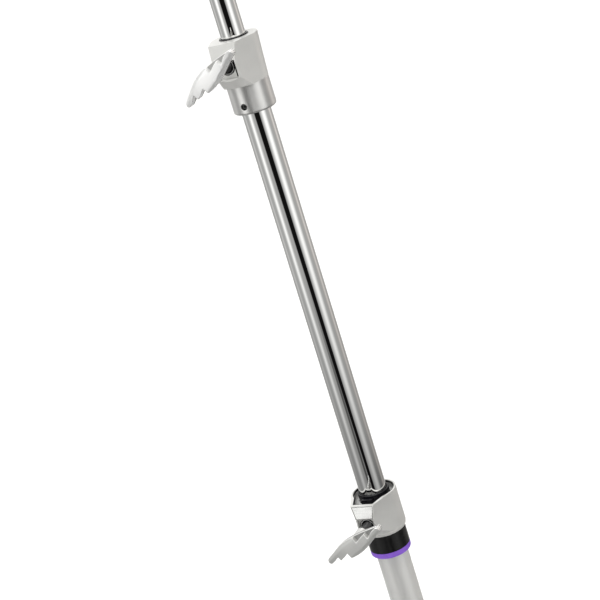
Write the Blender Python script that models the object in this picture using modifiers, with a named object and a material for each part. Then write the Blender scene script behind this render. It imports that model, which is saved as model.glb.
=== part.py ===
"""A folding three-legged light stand: a bent-tube base, a 35 mm column and two telescoping risers.

Metres, +Z up, standing on the floor.  The clamp screws point to the front (-Y).
"""
import math

import bmesh
import bpy
from mathutils import Matrix, Vector
from mathutils.geometry import tessellate_polygon

# ---------------------------------------------------------------- driving dimensions
GAP = 0.0003                       # running clearance between touching pieces

COLUMN_R = 0.0175                  # lower tube, 35 mm
MIDDLE_R = 0.015                   # middle riser, 30 mm
TOP_R = 0.0125                     # top riser, 25 mm
WALL = 0.0015                      # wall of all three tubes

COLUMN_BOTTOM, COLUMN_TOP = 0.1490, 1.1690
COLLAR_Z = 1.1342                  # underside of the lower collar
COLLAR_H = 0.0458
MIDDLE_BOTTOM, MIDDLE_TOP = 0.6300, 1.6550
SLEEVE_Z = 1.6135                  # lower end of the upper collar's sleeve
UPPER_Z = 1.6432                   # where the sleeve meets the cast head
UPPER_H = 0.0458
TOP_BOTTOM, TOP_TOP = 0.8300, 1.8390

LOWER_SCREW_Z = 1.1553             # height of the lower clamp screw
UPPER_SCREW_Z = 1.6669
LOWER_LEVER_Y, UPPER_LEVER_Y = 0.0802, 0.0763   # from the column axis to the lever's face
LOWER_LEVER_TILT, UPPER_LEVER_TILT = math.radians(30.5), math.radians(37.2)
LEVER_FEATHER, LEVER_BACK = 0.0052, 0.0036      # thickness of the lever's two layers
LEVER_SWEEP = 3.3                  # backward sweep of the lobes, y = sweep * s^2
LOWER_HUB_END, UPPER_HUB_END = 0.0490, 0.0500   # from the column axis to the near end of each hub
HUB_HOLE = 0.0150                  # depth of the screw's hole in a hub

SCREW_R = 0.005                    # M10 clamp screws
SHOE_W = 0.0063                    # half width of the brake shoes
BUSH_R = 0.0172                    # black bush standing out of the lower collar
RECESS_R = 0.0088                  # bush recess round the clamp screws
BAND_R, BAND_H, RING_H = 0.0223, 0.0203, 0.0067

LEG_R = 0.0127                     # 25.4 mm leg tube
LEG_WALL = 0.0016
LEG_BEND = 0.055                   # centre-line radius of the bends
LEG_KNEE = 0.300                   # where the legs reach the floor, from the column
LEG_REACH = 0.488                  # end of the leg tubes
HUB_R, HUB_H = 0.0265, 0.0360
WASHER_H = 0.0020
FOOT_R, FOOT_DROP, FOOT_LEN = 0.0168, 0.0150, 0.062

LEGS = (("low", 150.0), ("mid", 30.0), ("high", -90.0))
FOOT_END = LEG_REACH + 0.004
# The bounding box of the three feet is centred on the origin.
COLUMN_Y = (FOOT_END * 0.5 - FOOT_R * math.cos(math.radians(30.0))) / 2.0

ROUND = 40                         # sides of the tubes and collars


# ---------------------------------------------------------------- scene helpers
for old in list(bpy.data.objects):
    bpy.data.objects.remove(old, do_unlink=True)

STAND = bpy.data.collections.new("light_stand")
CUTTERS = bpy.data.collections.new("cutters")
bpy.context.scene.collection.children.link(STAND)
bpy.context.scene.collection.children.link(CUTTERS)


def material(name, colour, roughness, metallic):
    mat = bpy.data.materials.new(name)
    mat.use_nodes = True
    shader = mat.node_tree.nodes["Principled BSDF"]
    shader.inputs["Base Color"].default_value = (*colour, 1.0)
    shader.inputs["Roughness"].default_value = roughness
    shader.inputs["Metallic"].default_value = metallic
    mat.diffuse_color = (*colour, 1.0)
    return mat


CHROME = ("chrome", (0.80, 0.80, 0.81), 0.08, 1.0)
SATIN = ("satin_steel", (0.62, 0.63, 0.62), 0.42, 1.0)
CAST = ("cast_aluminium", (0.66, 0.66, 0.64), 0.50, 1.0)
LEVER = ("bright_casting", (0.78, 0.78, 0.77), 0.30, 1.0)
STEEL = ("bright_steel", (0.70, 0.70, 0.71), 0.22, 1.0)
OXIDE = ("black_oxide", (0.02, 0.02, 0.02), 0.35, 1.0)
NYLON = ("black_nylon", (0.012, 0.012, 0.014), 0.35, 0.0)
GLOSS = ("gloss_black", (0.010, 0.010, 0.010), 0.12, 0.0)
PURPLE = ("purple_plastic", (0.195, 0.080, 0.550), 0.40, 0.0)
RUBBER = ("black_rubber", (0.020, 0.020, 0.020), 0.75, 0.0)


def finish(obj, look, at=(0.0, COLUMN_Y, 0.0), sharp=35.0):
    """Names the material after its piece, places the piece and shades it."""
    name, colour, roughness, metallic = look
    obj.data.materials.clear()
    obj.data.materials.append(material(f"{obj.name}_{name}", colour, roughness, metallic))
    obj.location = at
    obj.data.shade_smooth()
    obj.data.set_sharp_from_angle(angle=math.radians(sharp))
    return obj


def from_bmesh(name, bm, collection=STAND):
    mesh = bpy.data.meshes.new(name)
    bmesh.ops.recalc_face_normals(bm, faces=bm.faces[:])
    bm.to_mesh(mesh)
    bm.free()
    obj = bpy.data.objects.new(name, mesh)
    collection.objects.link(obj)
    if collection is CUTTERS:
        obj.hide_render = True
        obj.display_type = "WIRE"
    return obj


def turned(name, profile, sides=ROUND, collection=STAND):
    """A closed profile of (radius, height) points turned round the Z axis by a Screw modifier."""
    mesh = bpy.data.meshes.new(name)
    points = [(r, 0.0, z) for r, z in profile]
    last = len(points)
    closed = profile[0][0] > 0.0 and profile[-1][0] > 0.0
    edges = [(i, (i + 1) % last) for i in range(last if closed else last - 1)]
    mesh.from_pydata(points, edges, [])
    obj = bpy.data.objects.new(name, mesh)
    collection.objects.link(obj)
    screw = obj.modifiers.new("turn", "SCREW")
    screw.axis = "Z"
    screw.angle = math.tau
    screw.steps = screw.render_steps = sides
    screw.use_merge_vertices = True
    screw.merge_threshold = 0.00001
    if collection is CUTTERS:
        obj.hide_render = True
        obj.display_type = "WIRE"
    return obj


def tube(name, outer, inner, bottom, top, edge=0.0004, sides=ROUND):
    """A hollow tube with its outer edges broken."""
    return turned(name, (
        (inner, top), (outer - edge, top), (outer, top - edge),
        (outer, bottom + edge), (outer - edge, bottom), (inner, bottom)), sides)


def cylinder(name, radius, start, end, sides=32, collection=CUTTERS):
    """A solid cylinder between two points."""
    start, end = Vector(start), Vector(end)
    axis = end - start
    bm = bmesh.new()
    turn = axis.to_track_quat("Z", "Y").to_matrix().to_4x4()
    bmesh.ops.create_cone(bm, cap_ends=True, segments=sides, radius1=radius, radius2=radius,
                          depth=axis.length, matrix=Matrix.Translation((start + end) / 2) @ turn)
    return from_bmesh(name, bm, collection)


def box(name, low, high, collection=CUTTERS):
    low, high = Vector(low), Vector(high)
    bm = bmesh.new()
    bmesh.ops.create_cube(bm, size=1.0)
    for v in bm.verts:
        v.co = Vector([(a + b) / 2 + c * (b - a) for a, b, c in zip(low, high, v.co)])
    return from_bmesh(name, bm, collection)


def cut(obj, tool, operation="DIFFERENCE"):
    step = obj.modifiers.new(tool.name, "BOOLEAN")
    step.operation = operation
    step.solver = "EXACT"
    step.object = tool
    return obj


def placed(tool):
    """Moves a cutter to the column axis, where the pieces stand."""
    tool.location = (0.0, COLUMN_Y, 0.0)
    return tool


def break_edges(obj, width, segments=1, angle=40.0):
    step = obj.modifiers.new("edges", "BEVEL")
    step.width = width
    step.segments = segments
    step.limit_method = "ANGLE"
    step.angle_limit = math.radians(angle)
    step.harden_normals = False
    return obj


# ---------------------------------------------------------------- tubes of the column
column = tube("lower_tube", COLUMN_R, COLUMN_R - WALL, COLUMN_BOTTOM, COLUMN_TOP)
finish(column, SATIN)

middle = tube("middle_riser", MIDDLE_R, MIDDLE_R - WALL, MIDDLE_BOTTOM, MIDDLE_TOP)
finish(middle, CHROME)

top = tube("top_riser", TOP_R, TOP_R - WALL, TOP_BOTTOM, TOP_TOP)
finish(top, CHROME)


def guide_plug(name, bottom, riser_r, bore_r):
    """A nylon plug in the foot of a riser; its flange runs in the tube below."""
    stem, flange, hole = riser_r - WALL - GAP, bore_r - GAP, 0.006
    obj = turned(name, (
        (hole, bottom + 0.022), (stem, bottom + 0.022), (stem, bottom - GAP),
        (flange, bottom - GAP), (flange, bottom - 0.012), (hole, bottom - 0.012)), 24)
    return finish(obj, NYLON)


guide_plug("middle_riser_plug", MIDDLE_BOTTOM, MIDDLE_R, COLUMN_R - WALL)
guide_plug("top_riser_plug", TOP_BOTTOM, TOP_R, MIDDLE_R - WALL)


# ---------------------------------------------------------------- stud on the top riser
stud_r, stud_top = 0.0079, TOP_TOP + 0.086
turned("baby_stud", (
    (0.0, stud_top), (stud_r - 0.0012, stud_top), (stud_r, stud_top - 0.0012),
    (stud_r, TOP_TOP + 0.054), (stud_r - 0.0014, TOP_TOP + 0.051),
    (stud_r - 0.0014, TOP_TOP + 0.034), (stud_r, TOP_TOP + 0.031), (stud_r, TOP_TOP + 0.010),
    (TOP_R - 0.0010, TOP_TOP + 0.0055), (TOP_R, TOP_TOP + 0.0040), (TOP_R, TOP_TOP + GAP),
    (TOP_R - WALL - GAP, TOP_TOP + GAP), (TOP_R - WALL - GAP, TOP_TOP - 0.030),
    (0.0, TOP_TOP - 0.030)), 32)
stud = bpy.data.objects["baby_stud"]
pin_z = TOP_TOP - 0.014
for piece in (stud, top):
    cut(piece, placed(cylinder(piece.name + "_pin_hole", 0.0020 + GAP,
                               (0, -0.03, pin_z), (0, 0.03, pin_z), 16)))
finish(stud, STEEL)
pin = cylinder("stud_pin", 0.0020, (0, -TOP_R, pin_z), (0, TOP_R, pin_z), 16, STAND)
finish(pin, STEEL)


# ---------------------------------------------------------------- clamp collars
def collar_plan(radius, nose_w, nose_d, arc=30):
    """Plan of a collar: a barrel with a wedge nose whose flanks leave the barrel tangentially."""
    corner = Vector((nose_w, -nose_d))
    reach = corner.length
    side = math.atan2(corner.y, corner.x) + math.acos(min(1.0, radius / reach))
    points = [(nose_w, -nose_d)]
    sweep = math.pi - 2.0 * side
    for i in range(arc + 1):
        a = side + (sweep + 0.0) * i / arc
        points.append((radius * math.cos(a), radius * math.sin(a)))
    points.append((-nose_w, -nose_d))
    return points


def lofted(name, levels, collection=STAND):
    """Skins plans of equal count, one for each height, and closes both ends."""
    bm = bmesh.new()
    rows = [[bm.verts.new((x, y, z)) for x, y in plan] for z, plan in levels]
    for low, high in zip(rows, rows[1:]):
        for i in range(len(low)):
            j = (i + 1) % len(low)
            bm.faces.new((low[i], low[j], high[j], high[i]))
    bm.faces.new(list(reversed(rows[0])))
    bm.faces.new(rows[-1])
    return from_bmesh(name, bm, collection)


def underside(name, lip, radius, height):
    """A ring cutter that follows a lip and then rises outwards at 45 degrees under the nose."""
    reach = 0.0170
    return placed(turned(name, (
        *lip, (radius + reach, height + reach), (0.0600, height + reach),
        (0.0600, lip[0][1])), 72, CUTTERS))


# Lower collar: cast head with a deep open top round the riser.
z0, z1 = COLLAR_Z, COLLAR_Z + COLLAR_H
slot_w = SHOE_W + GAP
lower = lofted("lower_collar", (
    (z0, collar_plan(0.0246, 0.0107, 0.0367)),
    (z1 - 0.0140, collar_plan(0.0246, 0.0107, 0.0367)),
    (z1, collar_plan(0.0247, 0.0137, 0.0342))))
cut(lower, underside("lower_underside", (
    (0.0223, z0 - 0.0050), (0.0223, z0 + 0.0001), (0.0234, z0 + 0.0006), (0.0240, z0 + 0.0018),
    (0.0240, z0 + 0.0029), (0.0236, z0 + 0.0032)), 0.0236, z0 + 0.0035))
cut(lower, placed(box("lower_front", (-0.0092, -0.0500, z0 - 0.01),
                      (0.0092, -0.0338, z1 - 0.0155))))
cut(lower, placed(cylinder("lower_bore", COLUMN_R + GAP, (0, 0, z0 - 0.01), (0, 0, z1 - 0.007), ROUND)))
cut(lower, placed(lofted("lower_pocket", (
    (z1 - 0.0080, collar_plan(0.0224, 0.0112, 0.0315)),
    (z1 + 0.0050, collar_plan(0.0224, 0.0112, 0.0315))), CUTTERS)))
cut(lower, placed(box("lower_shoe_pocket", (-slot_w, -0.0240, LOWER_SCREW_Z - 0.0110),
                      (slot_w, -0.0140, z1 - 0.0060))))
cut(lower, placed(cylinder("lower_recess", RECESS_R, (0, -0.05, LOWER_SCREW_Z),
                           (0, -0.0305, LOWER_SCREW_Z))))
cut(lower, placed(cylinder("lower_screw_hole", SCREW_R + GAP, (0, -0.05, LOWER_SCREW_Z),
                           (0, -0.0200, LOWER_SCREW_Z), 24)))
finish(lower, CAST)

# The shoe reaches the riser through a slot in the lower tube.
cut(column, placed(box("column_slot", (-slot_w, -0.0250, LOWER_SCREW_Z - 0.0110),
                       (slot_w, -0.0100, COLUMN_TOP + 0.01))))

liner = lofted("lower_liner", (
    (z1 - 0.0022, collar_plan(0.0221, 0.0109, 0.0312)),
    (z1 - 0.0003, collar_plan(0.0221, 0.0109, 0.0312))))
cut(liner, placed(lofted("liner_inside", (
    (z1 - 0.0040, collar_plan(0.0211, 0.0101, 0.0302)),
    (z1 + 0.0010, collar_plan(0.0211, 0.0101, 0.0302))), CUTTERS)))
finish(liner, NYLON)

bush_top = z1 + 0.0016
bush = turned("lower_bush", (
    (MIDDLE_R + GAP, bush_top - 0.0006), (MIDDLE_R + 0.0009, bush_top), (BUSH_R - 0.0006, bush_top),
    (BUSH_R, bush_top - 0.0006), (BUSH_R, COLUMN_TOP + GAP), (MIDDLE_R + GAP, COLUMN_TOP + GAP)), 36)
cut(bush, placed(box("bush_notch", (-slot_w, -0.0250, COLUMN_TOP - 0.01),
                     (slot_w, -0.0100, COLUMN_TOP + 0.0034))))
finish(bush, NYLON)

turned("grip_band", (
    (COLUMN_R + GAP, z0 - GAP), (BAND_R - 0.0004, z0 - GAP), (BAND_R, z0 - 0.0007),
    (BAND_R, z0 - BAND_H), (COLUMN_R + GAP, z0 - BAND_H)))
finish(bpy.data.objects["grip_band"], GLOSS)
ring_top = z0 - BAND_H - GAP
ring_end = ring_top - RING_H
turned("colour_ring", (
    (COLUMN_R + GAP, ring_top), (BAND_R - 0.0003, ring_top), (BAND_R, ring_top - 0.0003),
    (BAND_R, ring_end + 0.0024), (BAND_R - 0.0007, ring_end + 0.0008), (BAND_R - 0.0022, ring_end),
    (COLUMN_R + GAP, ring_end)))
finish(bpy.data.objects["colour_ring"], PURPLE)

# Upper collar: cast head over a turned sleeve that is fixed on the middle riser.
z2, z3 = UPPER_Z, UPPER_Z + UPPER_H
upper = lofted("upper_collar", (
    (z2, collar_plan(0.0221, 0.0126, 0.0332)),
    (z3 - 0.0145, collar_plan(0.0235, 0.0129, 0.0336)),
    (z3, collar_plan(0.0242, 0.0152, 0.0281))))
cut(upper, underside("upper_underside", ((0.0222, z2 - 0.0050),), 0.0222, z2))
cut(upper, placed(turned("upper_sleeve", (
    (0.0, z2 + 0.010), (0.0218, z2 + 0.010), (0.0220, z2 - 0.002), (0.0220, SLEEVE_Z + 0.0026),
    (0.0212, SLEEVE_Z + 0.0009), (0.0194, SLEEVE_Z), (0.0, SLEEVE_Z)), ROUND, CUTTERS)), "UNION")
cut(upper, placed(cylinder("upper_bore", MIDDLE_R + GAP, (0, 0, SLEEVE_Z - 0.01),
                           (0, 0, MIDDLE_TOP + GAP), ROUND)))
cut(upper, placed(cylinder("upper_bush_bore", 0.0148 + GAP, (0, 0, MIDDLE_TOP - 0.001),
                           (0, 0, z3 + 0.01), ROUND)))
cut(upper, placed(box("upper_front", (-0.0113, -0.0500, z2 + 0.0118), (0.0113, -0.0308, z3 - 0.0160))))
cut(upper, placed(cylinder("upper_recess", RECESS_R, (0, -0.05, UPPER_SCREW_Z),
                           (0, -0.0275, UPPER_SCREW_Z))))
cut(upper, placed(box("upper_shoe_pocket", (-slot_w, -0.0240, UPPER_SCREW_Z - 0.0090),
                      (slot_w, -0.0120, UPPER_SCREW_Z + 0.0090))))
cut(upper, placed(cylinder("upper_screw_hole", SCREW_R + GAP, (0, -0.05, UPPER_SCREW_Z),
                           (0, -0.0200, UPPER_SCREW_Z), 24)))
grub_z = SLEEVE_Z + 0.0088
cut(upper, placed(cylinder("grub_hole", 0.0034, (0, -0.03, grub_z), (0, -0.014, grub_z), 20)))
finish(upper, CAST)

grub = cylinder("grub_screw", 0.0031, (0, -0.0196, grub_z), (0, -MIDDLE_R - GAP, grub_z), 20, STAND)
cut(grub, placed(cylinder("grub_socket", 0.0016, (0, -0.025, grub_z), (0, -0.0172, grub_z), 6)))
finish(grub, GLOSS)

upper_bush = turned("upper_bush", (
    (TOP_R + GAP, z3 + 0.0006), (TOP_R + 0.0009, z3 + 0.0012), (0.0144, z3 + 0.0012),
    (0.0148, z3 + 0.0008), (0.0148, MIDDLE_TOP + 0.0006), (TOP_R + GAP, MIDDLE_TOP + 0.0006)))
cut(upper_bush, placed(box("upper_bush_slot", (-slot_w, -0.0240, UPPER_SCREW_Z - 0.0090),
                           (slot_w, -0.0100, UPPER_SCREW_Z + 0.0090))))
finish(upper_bush, NYLON)


# ---------------------------------------------------------------- clamp screws, levers and shoes
def screw_bush(name, z, front, back):
    """A nylon bush between the clamp screw and its recess."""
    obj = cylinder(name, RECESS_R - GAP, (0, -front, z), (0, -back, z), 32, STAND)
    cut(obj, placed(cylinder(name + "_hole", SCREW_R + GAP, (0, -front - 0.01, z),
                             (0, -back + 0.01, z), 24)))
    return finish(obj, NYLON)


screw_bush("lower_screw_bush", LOWER_SCREW_Z, 0.0338, 0.0308)
screw_bush("upper_screw_bush", UPPER_SCREW_Z, 0.0305, 0.0278)


def shoe(name, low, high, riser_r, back):
    """A brake block with a hollow face that the clamp screw presses on the riser."""
    obj = box(name, (-SHOE_W, -back, low), (SHOE_W, -riser_r + 0.0030, high), STAND)
    cut(obj, placed(cylinder(name + "_hollow", riser_r + GAP, (0, 0, low - 0.01),
                             (0, 0, high + 0.01), ROUND)))
    return finish(obj, GLOSS)


LOWER_SHOE_BACK, UPPER_SHOE_BACK = 0.0215, 0.0213
block = shoe("lower_shoe", LOWER_SCREW_Z - 0.0107, z1 - 0.0005, MIDDLE_R, LOWER_SHOE_BACK)
cut(block, placed(cylinder("lower_shoe_step", BUSH_R + GAP, (0, 0, COLUMN_TOP + 0.0031),
                           (0, 0, z1 + 0.01), ROUND)))
shoe("upper_shoe", UPPER_SCREW_Z - 0.0087, UPPER_SCREW_Z + 0.0087, TOP_R, UPPER_SHOE_BACK)


STEP_HEEL, SMOOTH_HEEL = (-9.4, -8.5), (-12.2, -8.1)
EDGE = ((-4.9, -9.5), (0.0, -10.0), (4.9, -10.2), (9.8, -10.0), (14.6, -9.4),
        (19.5, -8.5), (25.4, -7.2), (31.2, -6.2), (37.2, -5.1),
        (38.7, -3.8), (39.0, -1.6), (38.2, 0.4), (36.5, 1.3))
STEPS = ((29.9, 0.7), (22.8, -2.3), (22.6, 3.9), (15.8, 3.1), (9.1, 1.7))
SMOOTH_BACK = ((29.2, 3.6), (23.4, 5.4), (17.6, 7.0))


def lobe(heel, back, inset=(1.0, 1.0)):
    """One lobe's outline along s (length) and t (width), given in millimetres."""
    return [(s * inset[0] / 1000.0, t * inset[1] / 1000.0) for s, t in (heel, *EDGE, *back)]


def lever_layer(name, halves, front, back, tilt, collection=STAND):
    """Two opposed lobes between two depths, swept back towards the tips."""
    outline = halves[0] + [(-s, -t) for s, t in halves[1]]
    bm = bmesh.new()
    rows = []
    for depth in (front, back):
        rows.append([bm.verts.new((s * math.cos(tilt) - t * math.sin(tilt),
                                   LEVER_SWEEP * (s * s + t * t) - depth,
                                   s * math.sin(tilt) + t * math.cos(tilt))) for s, t in outline])
    for i in range(len(outline)):
        j = (i + 1) % len(outline)
        bm.faces.new((rows[0][i], rows[0][j], rows[1][j], rows[1][i]))
    for corners in tessellate_polygon([[Vector((s, t, 0.0)) for s, t in outline]]):
        for row in rows:
            bm.faces.new([row[i] for i in corners])
    return from_bmesh(name, bm, collection)


def lever(name, z, face, tilt, hub_end):
    """The cast lever: a stepped front layer, a back layer and the hub behind them.

    The back layer is smooth on the first lobe and follows the steps on the second.
    """
    front_lobe = lobe(STEP_HEEL, STEPS)
    obj = lever_layer(name, (front_lobe, front_lobe), face, face - LEVER_FEATHER, tilt)
    at = (0.0, COLUMN_Y, z)
    # a little inside the front layer's own edge
    inset = (0.994, 0.965)
    leaf = lobe(STEP_HEEL, SMOOTH_BACK, inset), lobe(SMOOTH_HEEL, STEPS, inset)
    layer = lever_layer(name + "_leaf", leaf,
                        face - LEVER_FEATHER + 0.0004, face - LEVER_FEATHER - LEVER_BACK, tilt, CUTTERS)
    hub = turned(name + "_hub", ((0.0, 0.0), (0.0064, 0.0), (0.0064, -0.006),
                                 (0.0070, -(face - 0.0075 - hub_end)), (0.0, -(face - 0.0075 - hub_end))),
                 32, CUTTERS)
    hub.rotation_euler = (math.radians(-90.0), 0.0, 0.0)
    for part in (layer, hub):
        part.location = at
        cut(obj, part, "UNION")
    hub.location = (0.0, COLUMN_Y - hub_end, z)
    hole = cylinder(name + "_hole", SCREW_R + GAP, (0, -hub_end + 0.01, 0), (0, -hub_end - HUB_HOLE, 0), 24)
    hole.location = at
    cut(obj, hole)
    return finish(obj, LEVER, at)


lever("lower_lever", LOWER_SCREW_Z, LOWER_LEVER_Y, LOWER_LEVER_TILT, LOWER_HUB_END)
lever("upper_lever", UPPER_SCREW_Z, UPPER_LEVER_Y, UPPER_LEVER_TILT, UPPER_HUB_END)


def clamp_screw(name, z, tip, head):
    obj = cylinder(name, SCREW_R, (0, -tip - GAP, 0), (0, -head, 0), 24, STAND)
    return finish(obj, OXIDE, (0.0, COLUMN_Y, z))


clamp_screw("lower_clamp_screw", LOWER_SCREW_Z, LOWER_SHOE_BACK, LOWER_HUB_END + HUB_HOLE - GAP)
clamp_screw("upper_clamp_screw", UPPER_SCREW_Z, UPPER_SHOE_BACK, UPPER_HUB_END + HUB_HOLE - GAP)


# ---------------------------------------------------------------- base
plug_top = COLUMN_BOTTOM - GAP
turned("base_plug", (
    (0.0, COLUMN_BOTTOM + 0.030), (COLUMN_R - WALL - GAP, COLUMN_BOTTOM + 0.030),
    (COLUMN_R - WALL - GAP, plug_top), (0.0240, plug_top), (0.0248, plug_top - 0.0008),
    (0.0248, plug_top - 0.0060), (0.0225, plug_top - 0.0083), (0.0, plug_top - 0.0083)), 36)
finish(bpy.data.objects["base_plug"], SATIN)


def leg_path(height):
    """Centre line of a leg, as (reach, height), with both bends rounded."""
    slope = height - FOOT_DROP
    corners = [(0.0200, height), (LEG_KNEE - slope, height), (LEG_KNEE, FOOT_DROP), (LEG_REACH, FOOT_DROP)]
    half = math.radians(45.0) / 2.0
    cut_back = LEG_BEND * math.tan(half)
    points = [corners[0]]
    for before, corner, after in zip(corners, corners[1:], corners[2:]):
        c, b, a = Vector(corner), Vector(before), Vector(after)
        start = c + (b - c).normalized() * cut_back
        end = c + (a - c).normalized() * cut_back
        inward = ((b - c).normalized() + (a - c).normalized()).normalized()
        centre = c + inward * (LEG_BEND / math.cos(half))
        for i in range(6):
            spoke = (start - centre).normalized().slerp((end - centre).normalized(), i / 5.0)
            points.append(tuple(centre + spoke * LEG_BEND))
    points.append(corners[-1])
    return points


def swept_tube(name, points, radius, collection, detail=6):
    """A round bar along a path in the XZ plane, made from a bevelled curve."""
    data = bpy.data.curves.new(name, "CURVE")
    data.dimensions = "3D"
    data.bevel_depth = radius
    data.bevel_resolution = detail
    data.use_fill_caps = True
    line = data.splines.new("POLY")
    line.points.add(len(points) - 1)
    for point, (x, z) in zip(line.points, points):
        point.co = (x, 0.0, z, 1.0)
    wire = bpy.data.objects.new(name + "_wire", data)
    bpy.context.scene.collection.objects.link(wire)
    mesh = bpy.data.meshes.new_from_object(wire)
    bpy.data.objects.remove(wire, do_unlink=True)
    bm = bmesh.new()
    bm.from_mesh(mesh)
    bmesh.ops.remove_doubles(bm, verts=bm.verts[:], dist=0.00001)
    bpy.data.meshes.remove(mesh)
    return from_bmesh(name, bm, collection)


def leg(tag, azimuth, low):
    """One leg: a hub ring on the column, a bent tube welded to it and a rubber foot."""
    turn = math.radians(azimuth)
    height = low + HUB_H / 2.0
    path = leg_path(height)
    name = "leg_" + tag
    obj = turned(name, (
        (0.0160, low + HUB_H), (HUB_R - 0.0012, low + HUB_H), (HUB_R, low + HUB_H - 0.0012),
        (HUB_R, low + 0.0012), (HUB_R - 0.0012, low), (0.0160, low)), 36)
    inner = [(path[0][0] + 0.0040, path[0][1])] + path[1:-1] + [(path[-1][0] + 0.01, path[-1][1])]
    bar = swept_tube(name + "_bar", path, LEG_R, CUTTERS)
    core = swept_tube(name + "_core", inner, LEG_R - LEG_WALL, CUTTERS, 3)
    bore = cylinder(name + "_bore", COLUMN_R + GAP, (0, 0, low - 0.01), (0, 0, low + HUB_H + 0.01), ROUND)
    for tool, operation in ((bar, "UNION"), (core, "DIFFERENCE"), (bore, "DIFFERENCE")):
        tool.location = (0.0, COLUMN_Y, 0.0)
        tool.rotation_euler.z = turn
        cut(obj, tool, operation)
    obj.rotation_euler.z = turn
    finish(obj, CHROME)

    bm = bmesh.new()
    flat = math.acos(FOOT_DROP / FOOT_R)
    sides = 20
    rim = []
    for i in range(sides + 1):
        a = -math.pi / 2.0 + flat + (math.tau - 2.0 * flat) * i / sides
        rim.append((FOOT_R * math.cos(a), FOOT_DROP + FOOT_R * math.sin(a)))
    ends = [[bm.verts.new((x, y, z)) for y, z in rim] for x in (FOOT_END - FOOT_LEN, FOOT_END)]
    for i in range(len(rim)):
        j = (i + 1) % len(rim)
        bm.faces.new((ends[0][i], ends[0][j], ends[1][j], ends[1][i]))
    bm.faces.new(ends[0])
    bm.faces.new(ends[1])
    foot = from_bmesh("foot_" + tag, bm)
    socket = cylinder("foot_socket_" + tag, LEG_R + GAP, (FOOT_END - FOOT_LEN - 0.01, 0, FOOT_DROP),
                      (LEG_REACH + GAP, 0, FOOT_DROP), 16)
    foot.rotation_euler.z = socket.rotation_euler.z = turn
    break_edges(foot, 0.0012, 1, 60.0)
    cut(foot, placed(socket))
    finish(foot, RUBBER)


level = COLUMN_BOTTOM
for tag, azimuth in LEGS:
    turned("washer_" + tag, (
        (COLUMN_R + GAP, level + WASHER_H), (0.0250, level + WASHER_H),
        (0.0250, level), (COLUMN_R + GAP, level)), 24)
    finish(bpy.data.objects["washer_" + tag], NYLON)
    level += WASHER_H + GAP
    leg(tag, azimuth, level)
    level += HUB_H + GAP

# A ring fixed on the column holds the hubs down.
turned("stop_collar", (
    (COLUMN_R + GAP, level + 0.018), (0.0238, level + 0.018), (0.0250, level + 0.0168),
    (0.0250, level), (COLUMN_R + GAP, level)), 36)
stop = bpy.data.objects["stop_collar"]
stop_z = level + 0.009
cut(stop, placed(cylinder("stop_hole", 0.0031 + GAP, (0, -0.03, stop_z), (0, -0.012, stop_z), 20)))
finish(stop, STEEL)
stop_screw = cylinder("stop_screw", 0.0031, (0, -0.0236, stop_z), (0, -COLUMN_R - GAP, stop_z), 20, STAND)
cut(stop_screw, placed(cylinder("stop_socket", 0.0016, (0, -0.03, stop_z), (0, -0.0205, stop_z), 6)))
finish(stop_screw, GLOSS)
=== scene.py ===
import math

import bmesh
import bpy
from mathutils import Matrix, Vector


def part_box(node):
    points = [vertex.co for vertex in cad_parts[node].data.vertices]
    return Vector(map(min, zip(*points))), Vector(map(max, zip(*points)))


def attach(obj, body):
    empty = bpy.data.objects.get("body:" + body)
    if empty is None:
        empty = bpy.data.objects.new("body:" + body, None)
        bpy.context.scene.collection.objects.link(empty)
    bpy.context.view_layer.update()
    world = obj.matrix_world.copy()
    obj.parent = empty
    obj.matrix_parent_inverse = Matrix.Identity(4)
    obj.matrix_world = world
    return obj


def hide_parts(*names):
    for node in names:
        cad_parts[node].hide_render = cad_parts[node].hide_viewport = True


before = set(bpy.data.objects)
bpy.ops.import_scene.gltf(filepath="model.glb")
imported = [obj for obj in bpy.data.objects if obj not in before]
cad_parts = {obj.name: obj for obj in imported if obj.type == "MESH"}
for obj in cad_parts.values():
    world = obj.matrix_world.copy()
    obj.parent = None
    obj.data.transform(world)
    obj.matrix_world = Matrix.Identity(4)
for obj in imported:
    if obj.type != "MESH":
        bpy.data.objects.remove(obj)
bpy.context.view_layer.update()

# ---------------------------------------------------------------- where the pieces are
MM = 0.001
tube_low, tube_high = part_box("lower_tube")
CX, CY = (tube_low[0] + tube_high[0]) / 2.0, (tube_low[1] + tube_high[1]) / 2.0
AXIS = Vector((CX, CY, 0.0))


def top_of(node):
    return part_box(node)[1][2]


def foot_of(node):
    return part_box(node)[0][2]


COLUMN_R, MIDDLE_R, TOP_R, WALL = 0.0175, 0.0150, 0.0125, 0.0015
LOWER_SCREW_Z, UPPER_SCREW_Z = 1.1553, 1.6669
HEAD_Z0, HEAD_Z1 = foot_of("lower_collar"), top_of("lower_collar")
SLEEVE_Z, UPPER_Z1 = foot_of("upper_collar"), top_of("upper_collar")
UPPER_Z0 = UPPER_Z1 - 0.0458

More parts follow.
